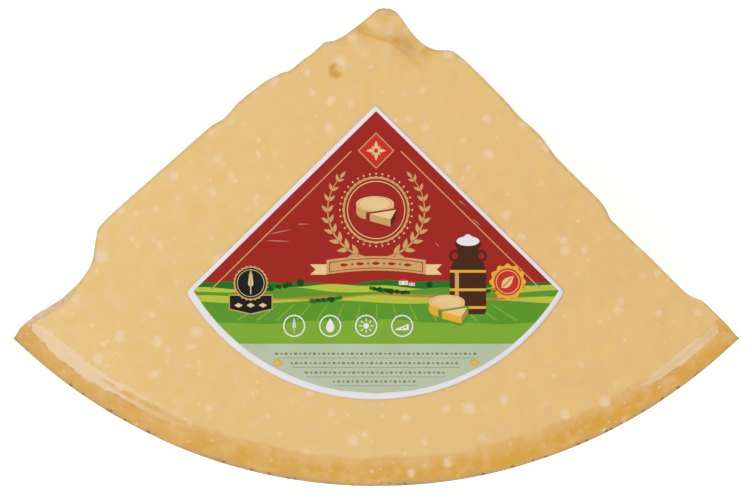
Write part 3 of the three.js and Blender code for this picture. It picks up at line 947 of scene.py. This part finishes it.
def ring(ink, x0, y0, inner, outer, level, lobes=0, lobeDepth=0.0, squash=1.0):
    # polar: u is the angle and v the radius, the outer edge in lobes where they are asked for
    u = np.linspace(0, 2 * math.pi, max(12, int(outer * 5), lobes * 8), endpoint=False)[:, None]
    wide = outer * (1 + lobeDepth * np.cos(lobes * u))
    radius = inner + (wide - inner) * shares(outer - inner)
    printShape(ink, x0 + radius * np.cos(u), y0 + squash * radius * np.sin(u), level, closed=True)


def stroke(ink, pathX, pathY, width, level):
    # a ribbon along a path: v runs across it, and the width may change along it
    pathX, pathY, width = (a[:, None] for a in np.broadcast_arrays(pathX, pathY, width))
    stepX, stepY = np.gradient(pathX, axis=0), np.gradient(pathY, axis=0)
    length = np.maximum(np.hypot(stepX, stepY), 1e-9)
    v = np.array((-0.5, 0.5)) * width
    printShape(ink, pathX - stepY / length * v, pathY + stepX / length * v, level)


def leaf(ink, x0, y0, length, width, degrees, level):
    # a lens: half its width is a sine of the place along it, fuller near the stalk
    u = np.linspace(0, 1, 11)[:, None]
    v = width / 2 * np.sin(math.pi * u ** 0.8) * np.array((-1.0, 1.0))
    along = u * length
    c, s = heading(degrees)
    printShape(ink, x0 + along * c - v * s, y0 + along * s + v * c, level)


def between(ink, x, low, high, level):
    # the area between two curves over the same x
    low, high = (np.broadcast_to(a, x.shape)[:, None] for a in (low, high))
    printShape(ink, x[:, None], low + (high - low) * shares(np.max(high - low)), level)


def lozenge(ink, x0, y0, wide, tall, level):
    # between two tents over the same x
    t = np.linspace(-1, 1, 17)
    rise = tall * (1 - np.abs(t))
    between(ink, x0 + wide * t, y0 - rise, y0 + rise, level)


def innerApex(inset):
    # the corner of the label's two straight sides moved inwards
    return label["apex"][1] - inset / math.sin(label["halfAngle"])


def fieldHalfWidth(y):
    # the printed area lies inside the label's straight sides and inside its arc
    radius = label["arcRadius"] - label["arcBorder"]
    beside = np.maximum(0, innerApex(label["sideBorder"]) - y) * math.tan(label["halfAngle"])
    inArc = np.sqrt(np.maximum(0, radius ** 2 - (y - label["arcCentre"][1]) ** 2))
    return np.minimum(beside, inArc)


def fieldBand(ink, far, near, waves, level):
    # u runs across the printed area and v down it: y goes from a far edge with sine waves of some height,
    # number and shift to a straight near edge, and x follows the area's width
    u = np.linspace(-1, 1, 161)[:, None]
    high = far + sum(rise * np.sin(math.pi * count * u + shift) for rise, count, shift in waves)
    y = high + (near - high) * shares(np.max(high - near))
    printShape(ink, label["middle"][0] + u * fieldHalfWidth(y), y, level)


def wheatEar(ink, x0, y0, length, degrees, level):
    # a stalk with grains in pairs that shrink towards the top
    c, s = heading(degrees)
    t = np.linspace(0, 1, 9)
    stroke(ink, x0 + t * length * c, y0 + t * length * s, 0.05 * length, level)
    kernel = 0.24 * length
    for k in range(5):
        at = (0.36 + 0.12 * k) * length
        size = kernel * (1 - 0.08 * k)
        for side in (-1, 1):
            leaf(ink, x0 + at * c, y0 + at * s, size, 0.42 * size, degrees + side * 34, level)
    leaf(ink, x0 + 0.9 * length * c, y0 + 0.9 * length * s, kernel, 0.4 * kernel, degrees, level)


def sprig(ink, x0, y0, radius, start, turn, level):
    # a curved branch with leaves on both sides, along an arc round a point
    count = 9
    u = np.radians(start + turn * np.linspace(0, 1, 40))
    stroke(ink, x0 + radius * np.cos(u), y0 + radius * np.sin(u), np.linspace(0.8, 0.3, 40), level)
    forwards = 90 if turn > 0 else -90
    for k in range(count):
        share = (k + 0.6) / count
        at = start + turn * share
        c, s = heading(at)
        size = 5.2 * (1 - 0.45 * share)
        for side in (-1, 1):
            leaf(ink, x0 + radius * c, y0 + radius * s, size, 0.38 * size, at + forwards + side * 40, level)
    c, s = heading(start + turn)
    leaf(ink, x0 + radius * c, y0 + radius * s, 3.4, 1.3, start + turn + forwards, level)


def cheeseSign(x0, y0, size, tones, level):
    # a low round cheese, and in front of it a cut piece: pale top, darker cut side, darkest rind
    pale, middle, dark, ground = tones
    t = np.linspace(-1, 1, 41)
    arc = np.sqrt(1 - t ** 2)
    between(middle, x0 + size * t, y0 - size * (0.36 + 0.4 * arc), y0 + 0.12 * size, level)
    for k, (tone, reach) in enumerate(((pale, 1.0), (middle, 0.9), (pale, 0.84)), 1):
        ring(tone, x0, y0 + 0.12 * size, 0.0, reach * size, level + k, squash=0.4)
    near, corner, far = (-0.28, -0.42), (0.82, -0.72), (1.12, -0.2)  # the piece's point, and its rind's ends
    tall = 0.38
    for tone, swell, fall, up in ((ground, 0.09, tall + 0.09, 4), (pale, 0.0, 0.0, 5)):
        topX = np.linspace(near[0] - 2.2 * swell, far[0] + swell, 31)
        high = interpolate((near, far), topX) + swell
        low = interpolate((near, corner, far), topX) - fall
        between(tone, x0 + size * topX, y0 + size * low, y0 + size * high, level + up)
    for tone, start, end in ((middle, near, corner), (dark, corner, far)):
        cutX = np.linspace(start[0], end[0], 15)
        high = interpolate((start, end), cutX)
        between(tone, x0 + size * cutX, y0 + size * (high - tall), y0 + size * high, level + 6)


def milkChurn(x0, y0, tall, level):
    # a churn: its outline is a width for each height, with hoops, a lid, two ears and a pale shine
    profile = (
        (0, 0.21), (0.03, 0.235), (0.55, 0.235), (0.66, 0.2), (0.74, 0.13), (0.86, 0.13), (0.88, 0.165),
        (0.93, 0.165),
    )
    t = np.linspace(0, 0.93, 48)[:, None]
    half = interpolate(profile, t) * tall
    y = y0 + t * tall
    printShape("churnBrown", x0 + half * (2 * shares(0.47 * tall) - 1), y, level)
    printShape("dullGold", x0 + half[4:30] * np.array((-0.72, -0.5)), y[4:30], level + 1)
    for at in (0.07, 0.3, 0.54):
        wide = interpolate(profile, at) * tall
        hoop = np.linspace(x0 - wide, x0 + wide, 12)
        between("sunYellow", hoop, y0 + at * tall, y0 + (at + 0.035) * tall, level + 2)
    ring("paperWhite", x0, y0 + 0.95 * tall, 0, 0.15 * tall, level + 2, squash=0.42)
    ring("paperWhite", x0, y0 + 1.0 * tall, 0, 0.05 * tall, level + 3, squash=0.8)
    for side in (-1, 1):
        ring("churnBrown", x0 + side * 0.17 * tall, y0 + 0.76 * tall, 0.05 * tall, 0.075 * tall, level + 1)


def roundel(x0, y0, radius, level, sign):
    # a white line circle with a small sign in it
    ring("paperWhite", x0, y0, radius - 0.55, radius, level)
    size = 0.62 * radius
    if sign == "drop":
        t = np.linspace(0, 1, 25)[:, None]  # from the point down to the round end
        half = 0.6 * size * np.sqrt(np.abs(np.sin(math.pi * t ** 1.6)))
        printShape("paperWhite", x0 + half * np.array((-1.0, 1.0)), y0 + size * (1.05 - 2 * t), level)
    elif sign == "sun":
        ring("paperWhite", x0, y0, 0, 0.42 * size, level)
        ray = np.linspace(0.62, 1.05, 5) * size
        for k in range(8):
            c, s = heading(45 * k)
            stroke("paperWhite", x0 + ray * c, y0 + ray * s, 0.45, level)
    elif sign == "ear":
        wheatEar("paperWhite", x0, y0 - 1.05 * size, 1.9 * size, 90, level)
    elif sign == "wedge":
        t = np.linspace(0, 1, 12)
        top = y0 + size * (0.75 * t - 0.45)
        between("paperWhite", x0 + size * (1.9 * t - 0.95), y0 - 0.62 * size, top, level)
        for holeX, holeY, hole in ((0.45, -0.2, 0.17), (0.0, -0.36, 0.12)):
            ring("grassGreen", x0 + holeX * size, y0 + holeY * size, 0, hole * size, level + 1)


def printFields():
    # flat fields and rolling hills, from the far ones forwards, each over the one before
    arcFoot = label["arcCentre"][1] - label["arcRadius"] + label["arcBorder"]
    fields = (  # ink, height of the far and of the near edge, and the waves of the far one
        ("wineRed", innerApex(label["sideBorder"]), -129.5, ()),
        ("hillGreen", -127.6, -133.0, ((0.7, 2.1, 0.4), (0.45, 5.3, 1.0))),
        ("limeGreen", -129.4, -134.0, ((0.8, 1.7, 2.6), (0.3, 6.0, 0.2))),
        ("meadowGreen", -130.9, -137.0, ((1.0, 2.4, 5.2), (0.35, 4.4, 2.0))),
        ("ochreField", -133.0, -138.0, ((0.8, 1.5, 0.9), (0.3, 5.1, 0.6))),
        ("limeGreen", -133.9, -139.0, ((0.9, 1.9, 1.2), (0.25, 4.6, 1.9))),
        ("meadowGreen", -135.6, -146.0, ((0.7, 2.2, 3.4),)),
        ("grassGreen", -143.5, -152.6, ((0.8, 1.3, 1.8), (0.3, 4.0, 0.5))),
        ("sageGreen", -152.4, arcFoot, ()),
    )
    for level, (ink, far, near, waves) in enumerate(fields, 1):
        fieldBand(ink, far, near, waves, level)


def printLand():
    # furrows that fan out over the near hill, hedges as rows of round bushes, and three trees far off
    draw = np.random.default_rng(11)
    t = np.linspace(0, 1, 12)
    for foot in -46 + 6.6 * np.arange(15):
        stroke("grassGreen", foot + 0.22 * foot * t, -136.4 - 6.6 * t, 0.35 + 0.5 * t, 8)
    hedges = ((-44, -130.6, 22, 0.2), (6, -131.4, 16, -0.12), (47, -131.0, 15, 0.16), (-20, -134.9, 12, 0.1))
    for x0, y0, length, lean in hedges:
        for at in np.arange(-length / 2, length / 2, 1.15):
            size = 0.65 + 0.5 * draw.random()
            tone = "hedgeGreen" if draw.random() < 0.7 else "hillGreen"
            ring(tone, x0 + at, y0 + lean * at + 0.5 * draw.random(), 0, size, 8 + int(3 * draw.random()))
    for x0, y0, size in ((-30.5, -127.8, 1.5), (21.5, -128.6, 1.3), (58.5, -129.6, 1.1)):
        ring("hedgeGreen", x0, y0, 0, size, 5)


def printOrnament():
    # gold on the red field: key lines beside the straight sides, and a star of leaves in a diamond
    t = np.linspace(14, 93, 60)
    apexY = innerApex(label["sideBorder"] + 4.5)
    for side in (-1, 1):
        lineX = label["middle"][0] + side * t * math.sin(label["halfAngle"])
        stroke("dullGold", lineX, apexY - t * math.cos(label["halfAngle"]), 0.45, 3)
    x0, y0 = 0.0, -74.6
    lozenge("dullGold", x0, y0, 7.4, 7.4, 3)
    lozenge("brightRed", x0, y0, 6.8, 6.8, 4)
    for k in range(8):
        size = 4.0 if k % 2 == 0 else 2.6
        leaf("paleGold", x0, y0, size, 0.38 * size, 45 * k, 5)
    ring("brightRed", x0, y0, 0, 0.8, 6)


def printMedallion():
    # a cheese in two line circles, the outer one scalloped, a ring of dots, and two sprigs round it all
    x0, y0 = 0.0, -98.5
    ring("dullGold", x0, y0, 12.6, 13.5, 3, lobes=36, lobeDepth=0.012)
    ring("paleGold", x0, y0, 11.4, 11.75, 3)
    for k in range(36):
        c, s = heading(10 * k)
        ring("paleGold", x0 + 14.6 * c, y0 + 14.6 * s, 0, 0.36, 3)
    cheeseSign(x0 - 0.4, y0 + 1.6, 7.6, ("paleGold", "dullGold", "churnBrown", "wineRed"), 4)
    for side in (-1, 1):
        sprig("dullGold", x0, y0, 19.5, 270 + side * 14, side * 118, 3)


def printRibbon():
    # a blank ribbon under the medallion: its middle is an arc, its ends fold back behind it and fork
    reach, arch, foot, tailFoot, pitch = 20.0, 1.6, -121.6, -124.6, 6.4
    u = np.linspace(-1, 1, 61)
    middle = foot + arch * (1 - u ** 2)
    for side in (-1, 1):
        out = np.linspace(reach - 3.0, reach + 6.6, 13)[:, None]
        notch = np.abs(np.linspace(-1, 1, 9))
        forked = side * (out - 2.2 * (1 - notch) * smoothstep(out, reach, reach + 6.6))
        printShape("paleGold", forked, tailFoot + 4.2 * np.linspace(0, 1, 9), 3)
        fold = side * np.linspace(reach - 3.0, reach, 5)
        between("churnBrown", fold, tailFoot, np.linspace(-124.4, -123.2, 5), 4)
    layers = (("dullGold", 0.0, 2.9), ("wineRed", 1.1, 2.05), ("dullGold", 1.45, 1.75))
    for level, (ink, inset, half) in enumerate(layers, 5):
        between(ink, (reach - inset) * u, middle - half, middle + half, level)
    for k in range(-2, 3):
        leaf("wineRed", k * pitch - 1.7, foot + arch * (1 - (k * pitch / reach) ** 2), 3.4, 1.3, 0, 8)
    for k in (-1.5, -0.5, 0.5, 1.5):
        ring("wineRed", k * pitch, foot + arch * (1 - (k * pitch / reach) ** 2), 0, 0.42, 8)


def printSeals():
    # a dark seal with a wheat ear on a dark pennant, and a yellow rosette with a leaf
    x0, y0 = -50.5, -128.0
    t = np.linspace(-1, 1, 25)
    for ink, swell, level in (("dullGold", 0.45, 10), ("nightBlack", 0.0, 11)):
        low = y0 - 12.2 - swell + 1.9 * np.abs(t)
        between(ink, x0 + (8.4 + swell) * t, low, y0 - 5.0 + swell, level)
    for k in (-1, 0, 1):
        lozenge("paleGold", x0 + 4.9 * k, y0 - 8.9, 1.7, 0.95, 12)
    ring("dullGold", x0, y0, 0, 6.9, 13, lobes=24, lobeDepth=0.03)
    ring("nightBlack", x0, y0, 0, 6.2, 14)
    ring("paleGold", x0, y0, 5.3, 5.55, 15)
    wheatEar("paleGold", x0, y0 - 4.4, 8.4, 90, 15)
    x0, y0 = 53.0, -127.5
    ring("sunYellow", x0, y0, 0, 7.0, 10, lobes=12, lobeDepth=0.07)
    ring("brightRed", x0, y0, 0, 5.5, 11)
    ring("paleGold", x0, y0, 4.5, 4.8, 12)
    leaf("paleGold", x0 - 2.4, y0 - 2.4, 6.8, 3.5, 45, 12)
    vein = np.linspace(-2.0, 1.6, 9)
    stroke("brightRed", x0 + vein, y0 + vein, 0.35, 13)


def printFarm():
    # a farmhouse and its barn, each a wall under a roof
    for x0, y0, wide, tall in ((11.0, -128.7, 3.6, 1.7), (14.4, -129.0, 2.4, 1.2)):
        t = np.linspace(-1, 1, 9)
        between("paperWhite", x0 + wide / 2 * t, y0, y0 + tall, 5)
        ridge = y0 + tall + 0.2 + 0.9 * (1 - np.abs(t))
        between("brightRed", x0 + (wide / 2 + 0.4) * t, y0 + tall - 0.1, ridge, 6)
        for side in (-0.5, 0.5):
            ring("nightBlack", x0 + side * wide / 2, y0 + 0.5 * tall, 0, 0.25, 6)


def printSigns():
    # four line signs on the grass, and on the sage field lines of dots and small lenses between two lozenges
    for k, sign in enumerate(("ear", "drop", "sun", "wedge")):
        roundel(-33.0 + 14.5 * k, -145.2, 4.5, 11, sign)
    rows = ((-156.4, 40.0), (-160.2, 34.0), (-164.0, 28.0), (-167.6, 17.0))
    for row, (y, reach) in enumerate(rows):
        for k, x in enumerate(np.arange(-reach, reach + 0.1, 1.9)):
            if (k + row) % 2:
                ring("stoneGrey", x, y, 0, 0.42, 10)
            else:
                leaf("stoneGrey", x - 0.75, y, 1.5, 1.0, 0, 10)
        stroke("stoneGrey", np.linspace(-reach, reach, 40), y - 1.75, 0.16, 10)
    for side in (-1, 1):
        lozenge("sunYellow", side * 39.6, -160.0, 2.3, 1.9, 10)
        lozenge("sageGreen", side * 39.6, -160.0, 1.0, 0.8, 11)


def printFolds():
    # where the wrap over the paper is creased it catches the light: thin lenses
    folds = (
        (-38.3, -107.2, 9.6, 12), (-29.3, -104.2, 5.0, 0), (-39.2, -111.0, 10.5, -2), (34.6, -95.7, 3.6, -35),
        (40.5, -103.5, 4.5, -42), (41.3, -120.9, 6.5, -15), (24.7, -112.6, 2.6, -50),
    )
    for x0, y0, length, degrees in folds:
        c, s = heading(degrees)
        leaf("foldShine", x0 - length / 2 * c, y0 - length / 2 * s, length, 0.5, degrees, 9)


def paperOutline():
    # straight sides and an arc, joined by small curves, as one closed run of points about 1 mm apart
    apex, arcCentre = np.array(label["apex"]), np.array(label["arcCentre"])
    radius, cut = label["arcRadius"], label["cornerCut"]
    corners = []
    for side in (-1, 1):
        way = np.array((side * math.sin(label["halfAngle"]), -math.cos(label["halfAngle"])))
        fromCentre = apex - arcCentre
        b = fromCentre @ way
        corners.append(apex + way * (-b + math.sqrt(b * b + radius ** 2 - fromCentre @ fromCentre)))
    left, right = corners
    angles = [math.atan2(*(corner - arcCentre)[::-1]) for corner in corners]

    def towards(a, b, distance):
        return a + (b - a) * distance / np.linalg.norm(b - a)

    def straight(a, b):
        count = int(np.linalg.norm(b - a))
        return a + (b - a) * (np.arange(count) / count)[:, None]

    def curve(a, control, b):
        t = (np.arange(6) / 6)[:, None]
        return (1 - t) ** 2 * a + 2 * t * (1 - t) * control + t ** 2 * b

    start, end = angles[0] + cut / radius, angles[1] - cut / radius
    turn = np.linspace(start, end, int(radius * (end - start)))
    arc = arcCentre + radius * np.stack([np.cos(turn), np.sin(turn)], axis=-1)
    apexLeft, apexRight = towards(apex, left, label["apexCut"]), towards(apex, right, label["apexCut"])
    sideLeft, sideRight = towards(left, apex, cut), towards(right, apex, cut)
    return np.concatenate([
        straight(apexLeft, sideLeft), curve(sideLeft, left, arc[0]), arc[:-1],
        curve(arc[-1], right, sideRight), straight(sideRight, apexRight), curve(apexRight, apex, apexLeft),
    ])


def buildPaper():
    # loops of the outline drawn in to the middle underneath, up the edge and back over the top
    edge = paperOutline()
    drawn = np.array([0.33, 0.66, 1.0, 1.0] + list(np.linspace(0.985, 0.03, 60)))
    middle = np.array(label["middle"])
    x, y = ((middle[c] + (edge[:, c, None] - middle[c]) * drawn) for c in (0, 1))
    under = faceHigh + labelGap
    z = np.where(np.arange(len(drawn)) < 3, under, paperHeight(x, y))
    return gridMesh("labelPaper", x, y, z, [(*middle, under), (*middle, float(paperHeight(*middle)))])


def buildInk(name):
    # joins an ink's shapes, merges the doubled points of tips and middles, and turns every face outwards
    mesh = bpy.data.meshes.new(name)
    points, faces, count = [], [], 0
    for shapePoints, shapeFaces in printed[name]:
        points.append(shapePoints)
        faces.append(shapeFaces + count)
        count += len(shapePoints)
    points = np.vstack(points) + (axisX, axisY, 0)
    mesh.from_pydata((points * mm).tolist(), [], np.vstack(faces).tolist())
    work = bmesh.new()
    work.from_mesh(mesh)
    bmesh.ops.remove_doubles(work, verts=work.verts, dist=1e-7)
    bmesh.ops.dissolve_degenerate(work, edges=work.edges, dist=1e-8)
    bmesh.ops.recalc_face_normals(work, faces=work.faces)
    work.to_mesh(mesh)
    work.free()
    return addObject(name, mesh)


def coatedPrint(name, colour):
    # offset ink on coated paper under film: even satin colour with the faint mottle of the press
    material, shader, add = newMaterial(name)
    place = add("TexCoord", {}, "Object")
    press = add("TexNoise", {"Vector": place, "Scale": 1 / (label["press"] * mm), "Detail": 2.0})
    cloud = add("TexNoise", {"Vector": place, "Scale": 1 / (label["cloud"] * mm), "Detail": 3.0})
    mottle = add("Math", {0: press, 1: cloud}, operation="ADD")
    value = add(
        "MapRange", {"Value": mottle, "From Min": 0.6, "From Max": 1.4, "To Min": 0.93, "To Max": 1.07}
    )
    setInputs(shader, {
        "Base Color": add("HueSaturation", {"Color": linear(colour), "Value": value}),
        "Normal": add("Bump", {"Height": press, "Distance": 0.03 * mm, "Strength": 0.6}),
        "Roughness": add("MapRange", {"Value": cloud, "To Min": 0.34, "To Max": 0.46}),
        "IOR": 1.5,
        "Specular IOR Level": 0.15,
    })
    return material


def placeLabel():
    # the paper, then everything that is printed, as one piece to an ink
    paper = buildPaper()
    paper.data.materials.append(coatedPrint("coatedPaper", inks["paperWhite"]))
    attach(paper, "root")
    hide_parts("label")
    print("label paper:", len(paper.data.polygons), "faces")
    printFields()
    printLand()
    printOrnament()
    printMedallion()
    printRibbon()
    printFarm()
    printSeals()
    milkChurn(37.0, -140.5, 31.0, 12)
    cheeseSign(28.5, -136.4, 7.2, ("paleGold", "sunYellow", "ochreField", "meadowGreen"), 16)
    printSigns()
    printFolds()
    for name in inks:
        piece = buildInk(name)
        piece.data.materials.append(coatedPrint(name + "Ink", inks[name]))
        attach(piece, "root")
        print("ink", name, len(piece.data.polygons), "faces")


placeLabel()

light = {
    "floor": 3.0,  # m from the middle to each side
    "floorGlow": 0.36,
    "world": 0.68,
    "aim": (0.0, 0.0, 0.1),  # m, where the lamps point
    "lamps": (  # name, place in m, size, watts
        ("leftWindow", (-1.5, 0.5, 1.6), 1.0, 20.0),
        ("rightWindow", (1.5, 0.4, 1.7), 1.2, 10.0),
        ("frontCard", (-0.2, -1.7, 1.5), 1.3, 8.0),
    ),
}


def studio():
    # a square floor, an even sky, and three soft lamps turned towards the chunk
    half = light["floor"]
    floor = bpy.data.meshes.new("floor")
    corners = [(-half, -half, 0), (half, -half, 0), (half, half, 0), (-half, half, 0)]
    floor.from_pydata(corners, [], [(0, 1, 2, 3)])
    # matt board, pale and faintly glowing, so that shadows stay faint
    material, shader, _ = newMaterial("paleFloor")
    setInputs(shader, {
        "Base Color": linear("FAFAFA"),
        "Roughness": 0.9,
        "Emission Color": (1, 1, 1, 1),
        "Emission Strength": light["floorGlow"],
    })
    floor.materials.append(material)
    addObject("floor", floor)

    world = bpy.data.worlds.new("softSky")
    bpy.context.scene.world = world
    world.use_nodes = True
    setInputs(world.node_tree.nodes["Background"], {"Color": (1, 1, 1, 1), "Strength": light["world"]})
    for name, where, size, power in light["lamps"]:
        lamp = bpy.data.lights.new(name, "AREA")
        lamp.size = size
        lamp.energy = power
        lampObject = addObject(name, lamp)
        lampObject.location = where
        aim = np.array(light["aim"]) - np.array(where)
        tilt = math.atan2(math.hypot(aim[0], aim[1]), -aim[2])
        lampObject.rotation_euler = (tilt, 0, math.atan2(aim[1], aim[0]) - math.pi / 2)


view = {
    "axisRow": -34.4,  # row of the render at which the wheel's axis stands, above its top edge
    "axisColumn": 376.1,
    "scale": 210.0 / 521.0,  # mm to a pixel at the face
    "columns": 752,
    "rows": 499,
    "lens": 100.0,
    "sensor": 36.0,
}


def overheadCamera():
    # straight down, as far above the face as makes a pixel there as wide as the scale says
    camera = bpy.data.cameras.new("camera")
    camera.lens = view["lens"]
    camera.sensor_width = view["sensor"]
    x = (view["columns"] / 2 - view["axisColumn"]) * view["scale"] + axisX
    y = (view["axisRow"] - view["rows"] / 2) * view["scale"] + axisY
    distance = view["columns"] * view["scale"] * view["lens"] / view["sensor"]
    cameraObject = addObject("camera", camera)
    cameraObject.location = (x * mm, y * mm, (faceHigh + distance) * mm)
    bpy.context.scene.camera = cameraObject


studio()
overheadCamera()
bpy.context.scene.view_settings.view_transform = "Standard"
print("stage ready")
